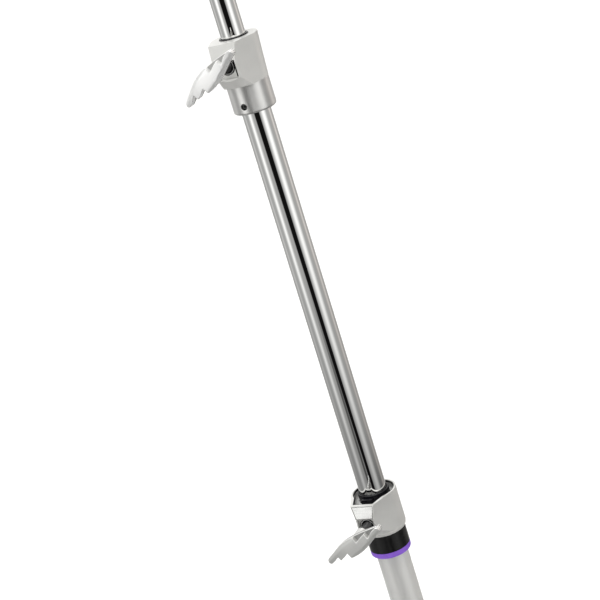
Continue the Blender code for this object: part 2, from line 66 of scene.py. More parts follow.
# ---------------------------------------------------------------- camera
AZIMUTH, ELEVATION, ROLL = math.radians(30.0), 0.313744, -0.301242
back = Vector((math.sin(AZIMUTH) * math.cos(ELEVATION),
               -math.cos(AZIMUTH) * math.cos(ELEVATION), math.sin(ELEVATION)))
right = Vector((math.cos(AZIMUTH), math.sin(AZIMUTH), 0.0))
up = back.cross(right)
spot = back * 1.85566 - right * 0.0145637 + AXIS + Vector((0.0, 0.0, 1.4085))
cam_right = right * math.cos(ROLL) + up * math.sin(ROLL)
cam_up = up * math.cos(ROLL) - right * math.sin(ROLL)
lens = bpy.data.cameras.new("camera")
lens.lens, lens.sensor_width = 108.0, 36.0
camera = bpy.data.objects.new("camera", lens)
bpy.context.scene.collection.objects.link(camera)
camera.matrix_world = Matrix((
    (cam_right.x, cam_up.x, back.x, spot.x), (cam_right.y, cam_up.y, back.y, spot.y),
    (cam_right.z, cam_up.z, back.z, spot.z), (0.0, 0.0, 0.0, 1.0)))
bpy.context.scene.camera = camera
bpy.context.scene.view_settings.view_transform = "Standard"


# ---------------------------------------------------------------- node helpers
class Nodes:
    """Short hand for building a node tree."""

    def __init__(self, tree):
        self.tree = tree

    def add(self, kind, **settings):
        node = self.tree.nodes.new(kind)
        for key, value in settings.items():
            setattr(node, key, value)
        return node

    def link(self, source, target):
        self.tree.links.new(source, target)

    def put(self, socket, value):
        if isinstance(value, bpy.types.NodeSocket):
            self.link(value, socket)
        else:
            socket.default_value = value

    def math(self, operation, a, b=0.0, c=0.0):
        node = self.add("ShaderNodeMath", operation=operation)
        for socket, value in zip(node.inputs, (a, b, c)):
            self.put(socket, value)
        return node.outputs[0]

    def smooth(self, value, low, high, to_low=0.0, to_high=1.0):
        node = self.add("ShaderNodeMapRange", interpolation_type="SMOOTHSTEP")
        for socket, item in zip(node.inputs[:5], (value, low, high, to_low, to_high)):
            self.put(socket, item)
        return node.outputs[0]

    def ramp(self, value, stops):
        node = self.add("ShaderNodeValToRGB")
        bar = node.color_ramp
        bar.elements[0].position, bar.elements[1].position = stops[0][0], stops[-1][0]
        bar.elements[0].color, bar.elements[1].color = (*stops[0][1], 1.0), (*stops[-1][1], 1.0)
        for place, colour in stops[1:-1]:
            bar.elements.new(place).color = (*colour, 1.0)
        self.put(node.inputs[0], value)
        return node.outputs[0]

    def coords(self, scale=(1.0, 1.0, 1.0)):
        where = self.add("ShaderNodeTexCoord").outputs["Object"]
        node = self.add("ShaderNodeMapping")
        node.inputs["Scale"].default_value = scale
        self.link(where, node.inputs["Vector"])
        return node.outputs[0]

    def noise(self, vector, scale, detail=3.0, rough=0.5, distortion=0.0):
        node = self.add("ShaderNodeTexNoise")
        self.link(vector, node.inputs["Vector"])
        node.inputs["Scale"].default_value = scale
        node.inputs["Detail"].default_value = detail
        node.inputs["Roughness"].default_value = rough
        node.inputs["Distortion"].default_value = distortion
        return node.outputs["Fac"]

    def bump(self, height, strength, distance, normal=None):
        node = self.add("ShaderNodeBump")
        node.inputs["Strength"].default_value = strength
        node.inputs["Distance"].default_value = distance
        self.link(height, node.inputs["Height"])
        if normal is not None:
            self.link(normal, node.inputs["Normal"])
        return node.outputs[0]


# ---------------------------------------------------------------- studio
def studio_world():
    """White surroundings for the camera; soft boxes, flags and a bright ceiling for everything else."""
    world = bpy.data.worlds.new("studio")
    bpy.context.scene.world = world
    world.use_nodes = True
    tree = world.node_tree
    tree.nodes.clear()
    n = Nodes(tree)
    way = n.add("ShaderNodeTexCoord").outputs["Generated"]
    turn = n.add("ShaderNodeVectorRotate", rotation_type="Z_AXIS")
    turn.inputs["Angle"].default_value = -AZIMUTH
    n.link(way, turn.inputs["Vector"])
    split = n.add("ShaderNodeSeparateXYZ")
    n.link(turn.outputs[0], split.inputs[0])
    x, y, z = split.outputs
    # compass angle from the front of the set, positive to the right, and height angle, both in degrees
    side = n.math("MULTIPLY", n.math("ARCTAN2", x, n.math("MULTIPLY", y, -1.0)), 180.0 / math.pi)
    rise = n.math("MULTIPLY", n.math("ARCSINE", z), 180.0 / math.pi)

    def across(centre, half, soft, lean=0.0, spread=0.0):
        """1 inside an upright strip, 0 outside; it can lean and widen with height."""
        middle = n.math("MULTIPLY_ADD", rise, lean, centre)
        off = n.math("ABSOLUTE", n.math("SUBTRACT", side, middle))
        off = n.math("MULTIPLY_ADD", rise, -spread, off)
        return n.smooth(off, half - soft, half + soft, 1.0, 0.0)

    def between(low, high, edge):
        return n.math("MULTIPLY", n.smooth(rise, low - edge, low + edge),
                      n.smooth(rise, high - edge, high + edge, 1.0, 0.0))

    def times(first, second):
        return n.math("MULTIPLY", first, second)

    def shade(level, strip, zone, amount):
        """Darkens the level inside a strip and a height zone by the given share."""
        return times(level, n.math("SUBTRACT", 1.0, times(times(strip, zone), amount)))

    # plain surroundings, dimmer towards the floor
    level = n.smooth(rise, -31.0, -15.0, 0.14, 0.405)
    # soft boxes as (centre, half width, softness, brightness)
    boxes = 0.0
    for centre, half, soft, bright in ((-63.0, 11.0, 13.0, 0.74), (46.0, 15.0, 15.0, 0.76),
                                       (-119.0, 7.0, 11.0, 0.24), (113.0, 9.0, 12.0, 0.36)):
        boxes = n.math("ADD", boxes, times(across(centre, half, soft), bright))
    boxes = times(boxes, n.smooth(rise, -27.0, -13.0, 0.22, 1.0))
    boxes = times(boxes, n.smooth(rise, 12.0, 30.0, 1.0, 0.0))
    level = n.math("ADD", level, boxes)
    # dark things: a half shadow and a black flag in front, a tall dark strip above them, a low one right
    level = shade(level, across(-19.0, 8.0, 4.0), between(-60.0, -19.0, 2.5), 0.72)
    level = shade(level, across(84.0, 18.0, 12.0), between(-60.0, -24.0, 2.0), 0.70)
    level = shade(level, across(-16.0, 29.0, 3.0, -0.90, 0.75), between(-70.0, -1.0, 4.0), 0.985)
    # above the horizon: a brighter left box, white behind the set, brighter upwards
    level = n.math("ADD", level, times(times(across(-60.0, 16.0, 14.0), between(-4.0, 9.0, 7.0)), 0.95))
    level = n.math("ADD", level, times(times(across(48.0, 12.0, 12.0), between(1.0, 12.0, 6.0)), 0.55))
    level = n.math("ADD", level, times(n.smooth(n.math("ABSOLUTE", side), 105.0, 140.0),
                                       times(n.smooth(rise, 0.0, 9.0), 0.50)))
    level = n.math("ADD", level, times(n.smooth(n.math("ABSOLUTE", side), 130.0, 160.0),
                                       times(n.smooth(rise, -19.0, -24.0), 0.30)))
    level = n.math("ADD", level, n.smooth(rise, 12.0, 46.0, 0.0, 0.35))
    level = n.math("ADD", level, times(times(across(10.0, 24.0, 12.0), between(6.0, 48.0, 7.0)), 0.80))
    level = shade(level, across(-31.0, 7.0, 7.0), between(-1.0, 62.0, 6.0), 0.95)
    level = n.math("ADD", level, n.smooth(rise, 50.0, 76.0, 0.0, 1.50))
    warmth = n.smooth(n.math("ABSOLUTE", n.math("SUBTRACT", side, 118.0)), 12.0, 40.0, 1.0, 0.0)
    tint = n.ramp(warmth, ((0.0, (1.0, 1.0, 0.985)), (1.0, (1.0, 0.955, 0.915))))
    light = n.add("ShaderNodeBackground")
    n.link(tint, light.inputs["Color"])
    n.link(level, light.inputs["Strength"])
    white = n.add("ShaderNodeBackground")
    white.inputs["Color"].default_value = (1.0, 1.0, 1.0, 1.0)
    white.inputs["Strength"].default_value = 1.0
    mix = n.add("ShaderNodeMixShader")
    n.link(n.add("ShaderNodeLightPath").outputs["Is Camera Ray"], mix.inputs[0])
    n.link(light.outputs[0], mix.inputs[1])
    n.link(white.outputs[0], mix.inputs[2])
    n.link(mix.outputs[0], n.add("ShaderNodeOutputWorld").inputs[0])


studio_world()


def area_light(name, place, target, size, power):
    data = bpy.data.lights.new(name, "AREA")
    data.shape, data.size, data.size_y, data.energy = "RECTANGLE", size[0], size[1], power
    lamp = bpy.data.objects.new(name, data)
    bpy.context.scene.collection.objects.link(lamp)
    lamp.location = place
    lamp.rotation_mode = "QUATERNION"
    lamp.rotation_quaternion = (Vector(target) - Vector(place)).to_track_quat("-Z", "Y")


area_light("ceiling_box", (-0.5, -0.9, 4.6), (0.0, 0.1, 1.0), (2.4, 2.4), 60.0)


# ---------------------------------------------------------------- materials
def surface(name, colour, roughness, metallic=0.0, **more):
    mat = bpy.data.materials.new(name)
    mat.use_nodes = True
    n = Nodes(mat.node_tree)
    shader = mat.node_tree.nodes["Principled BSDF"]
    shader.inputs["Base Color"].default_value = (*colour, 1.0)
    shader.inputs["Roughness"].default_value = roughness
    shader.inputs["Metallic"].default_value = metallic
    for key, value in more.items():
        shader.inputs[key].default_value = value
    return mat, n, shader


def shaded(n, shader, colour, amount, value):
    """Base colour varied about a mean by a noise value."""
    low = tuple(c * (1.0 - amount) for c in colour)
    high = tuple(min(1.0, c * (1.0 + amount)) for c in colour)
    n.link(n.ramp(value, ((0.30, low), (0.70, high))), shader.inputs["Base Color"])


def chrome(name):
    """Polished plating: faint lengthwise polishing, slow waviness and a few handling marks."""
    colour, roughness = (0.90, 0.90, 0.895), 0.035
    mat, n, s = surface(name, colour, roughness, 1.0)
    fine = n.noise(n.coords((1.0, 1.0, 0.012)), 2600.0, 2.0, 0.6)
    slow = n.noise(n.coords((1.0, 1.0, 0.22)), 38.0, 2.0, 0.4)
    marks = n.noise(n.coords((1.0, 1.0, 0.5)), 95.0, 4.0, 0.62, 0.4)
    shaded(n, s, colour, 0.025, slow)
    rough = n.math("ADD", n.smooth(fine, 0.30, 0.72, roughness * 0.8, roughness * 1.3),
                   n.smooth(marks, 0.58, 0.74, 0.0, 0.05))
    n.link(rough, s.inputs["Roughness"])
    n.link(n.bump(slow, 0.10, 0.0006, n.bump(fine, 0.05, 0.00002)), s.inputs["Normal"])
    return mat


def satin_tube(name):
    """Satin plating with lengthwise brushing."""
    colour, roughness = (0.90, 0.90, 0.882), 0.50
    mat, n, s = surface(name, colour, roughness, 0.75)
    brush = n.noise(n.coords((1.0, 1.0, 0.010)), 3200.0, 3.0, 0.65)
    cloud = n.noise(n.coords((1.0, 1.0, 0.3)), 60.0, 3.0, 0.55)
    shaded(n, s, colour, 0.035, cloud)
    n.link(n.smooth(brush, 0.25, 0.75, roughness - 0.05, roughness + 0.07), s.inputs["Roughness"])
    n.link(n.bump(brush, 0.18, 0.00003), s.inputs["Normal"])
    return mat


def casting(name, colour=(0.70, 0.698, 0.68), roughness=0.33, grain=0.05, metallic=0.55):
    """Blasted aluminium casting: fine grain and a little cloudiness."""
    mat, n, s = surface(name, colour, roughness, metallic)
    fine = n.noise(n.coords(), 2400.0, 3.0, 0.7)
    pits = n.noise(n.coords(), 820.0, 4.0, 0.65)
    cloud = n.noise(n.coords(), 42.0, 4.0, 0.55)
    shaded(n, s, colour, 0.04, cloud)
    n.link(n.smooth(pits, 0.3, 0.7, roughness - 0.05, roughness + 0.06), s.inputs["Roughness"])
    n.link(n.bump(fine, grain, 0.00005, n.bump(pits, grain, 0.00008)), s.inputs["Normal"])
    return mat


def machined(name, colour=(0.84, 0.835, 0.82), roughness=0.20, spread=0.0):
    """Turned metal with fine tool rings, which can spread its reflections along the axis."""
    mat, n, s = surface(name, colour, roughness, 1.0)
    if spread:
        s.inputs["Anisotropic"].default_value = spread
        s.inputs["Anisotropic Rotation"].default_value = 0.25
        tangent = n.add("ShaderNodeTangent", direction_type="RADIAL", axis="Z")
        n.link(tangent.outputs[0], s.inputs["Tangent"])
    rings = n.noise(n.coords((0.02, 0.02, 1.0)), 4200.0, 2.0, 0.6)
    cloud = n.noise(n.coords((1.0, 1.0, 0.6)), 80.0, 3.0, 0.5)
    shaded(n, s, colour, 0.03, cloud)
    n.link(n.smooth(rings, 0.3, 0.7, roughness - 0.04, roughness + 0.05), s.inputs["Roughness"])
    n.link(n.bump(rings, 0.12, 0.00003), s.inputs["Normal"])
    return mat


def moulded(name, colour, roughness, grain=0.12, **more):
    """Moulded plastic with a slight orange peel and rubbed patches."""
    mat, n, s = surface(name, colour, roughness, 0.0, **more)
    peel = n.noise(n.coords(), 900.0, 3.0, 0.6)
    cloud = n.noise(n.coords(), 70.0, 4.0, 0.6)
    shaded(n, s, colour, 0.10, cloud)
    n.link(n.smooth(cloud, 0.35, 0.70, roughness * 0.85, roughness * 1.25), s.inputs["Roughness"])
    n.link(n.bump(peel, grain, 0.00006), s.inputs["Normal"])
    return mat


def rubber(name):
    """Black rubber with a dusty, worn surface."""
    mat, n, s = surface(name, (0.022, 0.022, 0.023), 0.72)
    grain = n.noise(n.coords(), 1400.0, 4.0, 0.7)
    dust = n.noise(n.coords(), 55.0, 5.0, 0.65)
    n.link(n.ramp(dust, ((0.35, (0.017, 0.017, 0.018)), (0.75, (0.045, 0.044, 0.042)))),
           s.inputs["Base Color"])
    n.link(n.smooth(dust, 0.3, 0.7, 0.62, 0.85), s.inputs["Roughness"])
    n.link(n.bump(grain, 0.35, 0.00012), s.inputs["Normal"])
    return mat


def pale_floor():
    mat, n, s = surface("floor_paper", (0.93, 0.93, 0.93), 0.85)
    grain = n.noise(n.coords(), 160.0, 3.0, 0.6)
    n.link(n.ramp(grain, ((0.3, (0.925, 0.925, 0.925)), (0.7, (0.94, 0.94, 0.94)))), s.inputs["Base Color"])
    return mat


LOOKS = {
    "chrome": chrome("plated_chrome"),
    "satin": satin_tube("plated_satin"),
    "cast": casting("blasted_casting"),
    # The lever faces are lit and shaded copies of one casting: painted light on the upper lever, painted
    # shade on the lower lever.
    "lever": casting("bright_casting", (0.93, 0.93, 0.925), 0.34, 0.05, 0.70),
    "painted_shade_lever": casting("painted_shade_lever_casting", (0.67, 0.67, 0.655), 0.40, 0.05, 0.70),
    # The back layers' grey is painted shade, as seen in the notches; it is deeper on the lower lever.
    "leaf": casting("painted_shade_leaf_casting", (0.42, 0.42, 0.41), 0.45, 0.05, 0.60),
    "dark_leaf": casting("painted_deep_shade_leaf_casting", (0.33, 0.33, 0.325), 0.45, 0.05, 0.60),
    # A lighter casting on bevel faces: edge wear together with a painted highlight along the edges; the
    # mouth rings use it too.
    "rubbed": casting("wear_and_highlight_casting", (0.90, 0.90, 0.89), 0.30, 0.03, 0.75),
    "turned": machined("turned_metal"),
    "sleeve": machined("turned_sleeve", (0.93, 0.925, 0.91), 0.38, 0.9),
    # The pocket's casting: a copy whose colour and metal share are set to paint the light level on the
    # pocket walls.
    "cavity": casting("painted_light_cavity", (0.60, 0.60, 0.59), 0.50, 0.05, 0.30),
    "panel": machined("milled_panel", (0.78, 0.78, 0.77), 0.26, 0.6),
    "zinc": machined("bright_zinc", (0.82, 0.82, 0.83), 0.16),
    # Black oxide on the set screws; the same black paints shade in the lower nose's panel seat and in the
    # groove by the upper cheek.
    "oxide": moulded("black_oxide", (0.020, 0.020, 0.021), 0.34, 0.10, **{"Specular IOR Level": 0.7}),
    "thread": moulded("oiled_thread", (0.012, 0.012, 0.013), 0.22, 0.05, **{"Specular IOR Level": 0.8}),
    "nylon": moulded("black_nylon", (0.012, 0.012, 0.014), 0.28, 0.12),
    "gloss": moulded("gloss_black", (0.008, 0.008, 0.008), 0.10, 0.05),
    "matt": moulded("matt_black", (0.006, 0.006, 0.007), 0.38, 0.08, **{"Specular IOR Level": 0.14}),
    "slick": moulded("slick_nylon", (0.006, 0.006, 0.008), 0.14, 0.05, **{"Specular IOR Level": 0.22}),
    "purple": moulded("purple_plastic", (0.200, 0.078, 0.545), 0.42, 0.10),
    "rubber": rubber("foot_rubber"),
}


# ---------------------------------------------------------------- shape helpers
ARC_STEPS = 4  # faces along each rounded corner of a turned outline
SHARP = 38.0   # edges that turn by more degrees than this stay sharp


def evaluated(obj):
    depsgraph = bpy.context.evaluated_depsgraph_get()
    return bpy.data.meshes.new_from_object(obj.evaluated_get(depsgraph), depsgraph=depsgraph)


def flat_shaded_planes(name, mesh, angle):
    """Smooth shading whose normals follow the large faces, so that rounded edges don't tint them."""
    mesh.shade_smooth()
    mesh.set_sharp_from_angle(angle=math.radians(angle))
    work = bpy.data.objects.new(name + "_shading", mesh)
    bpy.context.scene.collection.objects.link(work)
    weigh = work.modifiers.new("weighted", "WEIGHTED_NORMAL")
    weigh.keep_sharp, weigh.weight = True, 75
    final = evaluated(work)
    final.name = name
    bpy.data.objects.remove(work, do_unlink=True)
    obj = bpy.data.objects.new(name, final)
    bpy.context.scene.collection.objects.link(obj)
    return obj


def new_object(name, mesh, look, angle=SHARP, others=()):
    for item in (look, *others):
        mesh.materials.append(LOOKS[item])
    return flat_shaded_planes(name, mesh, angle)


def mesh_from(bm, name):
    bmesh.ops.recalc_face_normals(bm, faces=bm.faces[:])
    mesh = bpy.data.meshes.new(name)
    bm.to_mesh(mesh)
    bm.free()
    return mesh


def skin(bm, rings, closed=False):
    """Quads between successive rings of points; the stack closes on itself or is capped at both ends."""
    pairs = list(zip(rings, rings[1:]))
    if closed:
        pairs.append((rings[-1], rings[0]))
    for a, b in pairs:
        for i in range(len(a)):
            j = (i + 1) % len(a)
            bm.faces.new((a[i], a[j], b[j], b[i]))
    if not closed:
        bm.faces.new(rings[0])
        bm.faces.new(list(reversed(rings[-1])))


def forward_rings(bm, profile, z, sides=72):
    """Rings of (radius, distance forward of the column axis) round an axis along -Y at height z."""
    return [[bm.verts.new((CX + r * math.cos(math.tau * k / sides), CY - d,
                           z + r * math.sin(math.tau * k / sides))) for k in range(sides)]
            for r, d in profile]


def rounded(profile, closed=True):
    """Replaces each (radius, height, fillet) corner by an arc of the given fillet."""
    count = len(profile)
    out = []
    for i, point in enumerate(profile):
        here = Vector(point[:2])
        fillet = point[2] if len(point) > 2 else 0.0
        if not closed and i in (0, count - 1) or fillet <= 0.0:
            out.append(here)
            continue
        a = (Vector(profile[i - 1][:2]) - here)
        b = (Vector(profile[(i + 1) % count][:2]) - here)
        half = a.angle(b) / 2.0
        reach = min(fillet / math.tan(half), a.length * 0.49, b.length * 0.49)
        radius = reach * math.tan(half)
        centre = here + (a.normalized() + b.normalized()).normalized() * (radius / math.sin(half))
        start, end = here + a.normalized() * reach - centre, here + b.normalized() * reach - centre
        for k in range(ARC_STEPS + 1):
            out.append(centre + start.normalized().slerp(end.normalized(), k / ARC_STEPS) * radius)
    return [(p.x, p.y) for p in out]


def turned_mesh(name, profile, sides=96):
    """Turns a closed outline of (radius, height, fillet) corners round the column axis."""
    points = rounded(profile)
    bm = bmesh.new()
    rings = []
    for r, z in points:
        if r < 1e-6:
            rings.append([bm.verts.new((CX, CY, z))])
        else:
            rings.append([bm.verts.new((CX + r * math.cos(math.tau * k / sides),
                                        CY + r * math.sin(math.tau * k / sides), z)) for k in range(sides)])
    for i, ring in enumerate(rings):
        nxt = rings[(i + 1) % len(rings)]
        if len(ring) == 1 and len(nxt) == 1:
            continue
        for k in range(sides):
            j = (k + 1) % sides
            if len(ring) == 1:
                bm.faces.new((ring[0], nxt[j], nxt[k]))
            elif len(nxt) == 1:
                bm.faces.new((ring[k], ring[j], nxt[0]))
            else:
                bm.faces.new((ring[k], ring[j], nxt[j], nxt[k]))
    return mesh_from(bm, name)


def turned(name, body, node, look, profile, sides=96):
    obj = new_object(name, turned_mesh(name, profile, sides), look)
    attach(obj, body)
    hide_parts(node)


def rod_mesh(name, radius, start, end, sides=48, chamfer=0.0):
    """A round bar between two points given from the column axis, with square or chamfered ends."""
    start, end = Vector(start), Vector(end)
    axis = end - start
    turn = axis.to_track_quat("Z", "Y").to_matrix()
    stations = [(radius - chamfer, 0.0), (radius, chamfer), (radius, axis.length - chamfer),
                (radius - chamfer, axis.length)]
    if not chamfer:
        stations = stations[1:3]
    bm = bmesh.new()
    skin(bm, [[bm.verts.new(AXIS + start + turn @ Vector((r * math.cos(math.tau * k / sides),
                                                          r * math.sin(math.tau * k / sides), h)))
               for k in range(sides)] for r, h in stations])
    return mesh_from(bm, name)


def block_mesh(name, low, high):
    """A box between two corners given from the column axis."""
    bm = bmesh.new()
    bmesh.ops.create_cube(bm, size=1.0)
    for v in bm.verts:
        v.co = AXIS + Vector([(a + b) / 2 + c * (b - a) for a, b, c in zip(low, high, v.co)])
    return mesh_from(bm, name)


def plan(radius, nose_w, nose_d, arc=72):
    """A collar's plan: a barrel with a wedge nose whose flanks leave the barrel tangentially."""
    corner = Vector((nose_w, -nose_d))
    side = math.atan2(corner.y, corner.x) + math.acos(min(1.0, radius / corner.length))
    sweep = math.pi - 2.0 * side
    points = [(nose_w, -nose_d)]
    for i in range(arc + 1):
        a = side + sweep * i / arc
        points.append((radius * math.cos(a), radius * math.sin(a)))
    points.append((-nose_w, -nose_d))
    return points


def pocket_plan(radius, kink_w, nose_w, nose_d, arc=72):
    """The open top's plan: a round bore joined by a slightly narrower tapered pocket."""
    side = -math.acos(kink_w / radius)
    sweep = math.pi - 2.0 * side
    points = [(nose_w, -nose_d)]
    for i in range(arc + 1):
        a = side + sweep * i / arc
        points.append((radius * math.cos(a), radius * math.sin(a)))
    points.append((-nose_w, -nose_d))
    return points


def loft_mesh(name, levels):
    """A solid through (height, plan) levels."""
    bm = bmesh.new()
    skin(bm, [[bm.verts.new((CX + x, CY + y, z)) for x, y in points] for z, points in levels])
    return mesh_from(bm, name)


def carve(name, base, steps, looks, bevel=0.0, segments=3, edge_look=-1):
    """Applies (mesh, operation, look index) booleans and one bevel, whose faces can have their own look."""
    work = bpy.data.objects.new(name + "_work", base)
    bpy.context.scene.collection.objects.link(work)
    for look in looks:
        base.materials.append(LOOKS[look])
    tools = []
    for tool_mesh, operation, slot in steps:
        for look in looks:
            tool_mesh.materials.append(LOOKS[look])
        tool_mesh.polygons.foreach_set("material_index", [slot] * len(tool_mesh.polygons))
        tool = bpy.data.objects.new(tool_mesh.name + "_tool", tool_mesh)
        bpy.context.scene.collection.objects.link(tool)
        tools.append(tool)
        step = work.modifiers.new(tool.name, "BOOLEAN")
        step.operation, step.solver, step.object = operation, "EXACT", tool
        step.material_mode = "INDEX"
    if bevel:
        edge = work.modifiers.new("edges", "BEVEL")
        edge.width, edge.segments, edge.limit_method = bevel, segments, "ANGLE"
        edge.angle_limit = math.radians(30.0)
        edge.use_clamp_overlap, edge.harden_normals, edge.material = True, False, edge_look
    mesh = evaluated(work)
    for old in (work, *tools):
        bpy.data.objects.remove(old, do_unlink=True)
    return flat_shaded_planes(name, mesh, SHARP)


def ring_tool(name, lip, radius, height):
    """The space under a nose: it follows the lip, then rises outwards at 45 degrees."""
    reach, clear = 0.0170, 0.0600
    return turned_mesh(name, (*lip, (radius + reach, height + reach), (clear, height + reach),
                              (clear, lip[0][1])), 144)


# ---------------------------------------------------------------- tubes
def tube_profile(radius, low, high, edge):
    return ((radius - WALL, high, 0.0002), (radius, high, edge), (radius, low, edge),
            (radius - WALL, low, 0.0002))


turned("vis_middle_riser", "middle", "middle_riser", "chrome",
       tube_profile(MIDDLE_R, foot_of("middle_riser"), top_of("middle_riser"), 0.0005), 128)

SLOT_W = 0.0066  # half the width of the slots that the brake shoes sit in
slot_low = LOWER_SCREW_Z - 0.0110
column = carve("vis_lower_tube", turned_mesh(
    "column", tube_profile(COLUMN_R, tube_low[2], tube_high[2], 0.0005), 128), [
    (block_mesh("slot", (-SLOT_W, -0.0250, slot_low), (SLOT_W, -0.0100, tube_high[2] + 0.01)),
     "DIFFERENCE", 0)], ["satin"])
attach(column, "column")
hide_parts("lower_tube")

PIN_HOLE_R = 0.0023
pin_z = (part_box("stud_pin")[0][2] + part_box("stud_pin")[1][2]) / 2.0
top_low, top_high = foot_of("top_riser"), top_of("top_riser")
top_riser = carve("vis_top_riser", turned_mesh(
    "top_tube", tube_profile(TOP_R, top_low, top_high, 0.0004), 128), [
    (rod_mesh("pin_hole", PIN_HOLE_R, (0, -0.03, pin_z), (0, 0.03, pin_z), 32), "DIFFERENCE", 0)],
    ["chrome"])
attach(top_riser, "top")
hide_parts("top_riser")

for name, body, stem, flange in (("middle_riser_plug", "middle", 0.0132, 0.0157),
                                 ("top_riser_plug", "top", 0.0107, 0.0132)):
    low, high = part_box(name)[0][2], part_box(name)[1][2]
    turned("vis_" + name, body, name, "nylon", (
        (0.0060, high, 0.0006), (stem, high, 0.0008), (stem, low + 0.0117), (flange, low + 0.0117, 0.0005),
        (flange, low + 0.0080, 0.0002), (flange - 0.0005, low + 0.0076), (flange - 0.0005, low + 0.0046),
        (flange, low + 0.0042, 0.0002), (flange, low, 0.0008), (0.0060, low, 0.0004)), 64)

# ---------------------------------------------------------------- stud
stud_top, tip = top_of("baby_stud"), top_high
STUD_R, GROOVE_R = 0.0079, 0.0065
stud_mesh = turned_mesh("stud", (
    (0.0, stud_top), (STUD_R, stud_top, 0.0011), (STUD_R, tip + 0.0525, 0.0006),
    (GROOVE_R, tip + 0.0505, 0.0008), (GROOVE_R, tip + 0.0345, 0.0008),
    (STUD_R, tip + 0.0325, 0.0006), (STUD_R, tip + 0.0100, 0.0030),
    (TOP_R, tip + 0.0050, 0.0012), (TOP_R, tip + 0.0004, 0.0002), (TOP_R - 0.0018, tip + 0.0004),
    (TOP_R - 0.0018, tip - 0.0300, 0.0005), (0.0, tip - 0.0300)), 96)
stud = carve("vis_baby_stud", stud_mesh, [
    (rod_mesh("stud_hole", PIN_HOLE_R, (0, -0.03, pin_z), (0, 0.03, pin_z), 32), "DIFFERENCE", 0)],
    ["zinc"])
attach(stud, "top")
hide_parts("baby_stud")
pin = new_object("vis_stud_pin", rod_mesh("pin", 0.0020, (0, -TOP_R, pin_z), (0, TOP_R, pin_z), 32, 0.0003),
                 "zinc")
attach(pin, "top")
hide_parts("stud_pin")

# ---------------------------------------------------------------- lower collar
z0, z1 = HEAD_Z0, HEAD_Z1
NOSE_LOW, NOSE_TOP = (0.0107, 0.0367), (0.0137, 0.0342)
SCREW_HOLE_R, RECESS_R = 0.0053, 0.0088
# round bore radius, half width where the pocket leaves it, and the pocket's corner
POCKET, LIP_OUT, LIP_IN = ((0.0228, 0.0168, 0.0117, 0.0315), (0.0225, 0.0166, 0.0114, 0.0312),
                           (0.0215, 0.0158, 0.0105, 0.0302))


def panel_outline(margin):
    """The nose's front above the recess, as (half width, distance forward, height) rows."""
    lean = (NOSE_LOW[1] - NOSE_TOP[1]) / 0.0140
    rows = []
    for drop in (0.0150 - margin, 0.0013 + margin):
        share = max(0.0, 1.0 - drop / 0.0140)
        wide = NOSE_LOW[0] + (NOSE_TOP[0] - NOSE_LOW[0]) * share
        rows.append((wide - 0.0008 - margin, NOSE_LOW[1] - lean * 0.0140 * share, z1 - drop))
    return rows


def panel_mesh(name, margin, inner, outer):
    bm = bmesh.new()
    (low_w, low_d, low_z), (top_w, top_d, top_z) = panel_outline(margin)
    rows = []
    for reach in (inner, outer):
        rows.append([bm.verts.new(AXIS + Vector(p)) for p in (
            (-low_w, -low_d - reach, low_z), (low_w, -low_d - reach, low_z),
            (top_w, -top_d - reach, top_z), (-top_w, -top_d - reach, top_z))])
    skin(bm, rows)
    return mesh_from(bm, name)


lower = carve("vis_lower_collar", loft_mesh("lower_head", (
    (z0, plan(0.0246, *NOSE_LOW)), (z1 - 0.0140, plan(0.0246, *NOSE_LOW)),
    (z1, plan(0.0247, *NOSE_TOP)))), [
    (ring_tool("under", ((0.0223, z0 - 0.0050), (0.0223, z0 + 0.0001), (0.0234, z0 + 0.0006),
                         (0.0240, z0 + 0.0018), (0.0240, z0 + 0.0029), (0.0236, z0 + 0.0032)),
               0.0236, z0 + 0.0035), "DIFFERENCE", 0),
    # the seat's thin walls are black: painted shade lines round the panel
    (panel_mesh("panel_seat", 0.0, -0.0005, 0.0100), "DIFFERENCE", 3),
    (block_mesh("front", (-0.0092, -0.0500, z0 - 0.01), (0.0092, -0.0338, z1 - 0.0155)), "DIFFERENCE", 0),
    (rod_mesh("bore", COLUMN_R + 0.0003, (0, 0, z0 - 0.01), (0, 0, z1 - 0.007), 96), "DIFFERENCE", 1),
    # the pocket's walls take the cavity look, painted light
    (loft_mesh("pocket", (
        (z1 - 0.0080, pocket_plan(*POCKET)),
        (z1 + 0.0050, pocket_plan(*POCKET)))), "DIFFERENCE", 2),
    (block_mesh("shoe_pocket", (-SLOT_W, -0.0240, LOWER_SCREW_Z - 0.0110), (SLOT_W, -0.0140, z1 - 0.0060)),
     "DIFFERENCE", 1),
    (rod_mesh("recess", RECESS_R, (0, -0.05, LOWER_SCREW_Z), (0, -0.0305, LOWER_SCREW_Z), 64),
     "DIFFERENCE", 1),
    (rod_mesh("screw_hole", SCREW_HOLE_R, (0, -0.05, LOWER_SCREW_Z), (0, -0.0200, LOWER_SCREW_Z), 48),
     "DIFFERENCE", 1)], ["cast", "turned", "cavity", "oxide", "rubbed"], 0.00030, 3, edge_look=4)
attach(lower, "column")
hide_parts("lower_collar")


panel = carve("vis_nose_panel", panel_mesh("panel", 0.0004, -0.0012, 0.0001), [], ["panel"], 0.0002, 2)
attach(panel, "column")

liner = carve("vis_lower_liner", loft_mesh("lip", (
    (z1 - 0.0022, pocket_plan(*LIP_OUT)),
    (z1 - 0.0002, pocket_plan(*LIP_OUT)))), [
    (loft_mesh("lip_inside", (
        (z1 - 0.0040, pocket_plan(*LIP_IN)),
        (z1 + 0.0010, pocket_plan(*LIP_IN)))), "DIFFERENCE", 0)],
    ["matt"], 0.0003, 2)
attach(liner, "column")
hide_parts("lower_liner")

